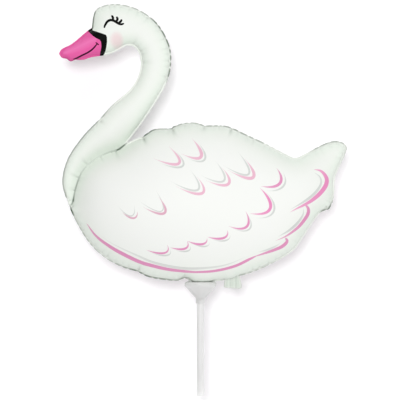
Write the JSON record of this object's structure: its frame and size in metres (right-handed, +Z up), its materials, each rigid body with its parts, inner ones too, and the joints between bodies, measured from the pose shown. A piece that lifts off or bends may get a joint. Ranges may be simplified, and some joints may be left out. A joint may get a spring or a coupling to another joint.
{
  "type": "swan foil balloon",
  "caption": "Swan-shaped foil balloon, full of air, with a curved neck and a raised tail, on a plastic cup and stick, lying on its back.",
  "frame": {"origin": "under the middle of the whole part's box, at the surface that the balloon lies on", "axes": "+X from the beak to the tail, +Y from the stick's free end up to the head, +Z up, out of the balloon's front face"},
  "size_m": [0.2872, 0.3914, 0.1087],
  "materials": {
    "foil": "white printed foil, satin gloss",
    "cup_plastic": "frosted grey-white",
    "stick_plastic": "translucent white, satin"
  },
  "bodies": {
    "root": {"balloon_envelope": "foil", "cup": "cup_plastic", "stick": "stick_plastic"}
  },
  "joints": []
}
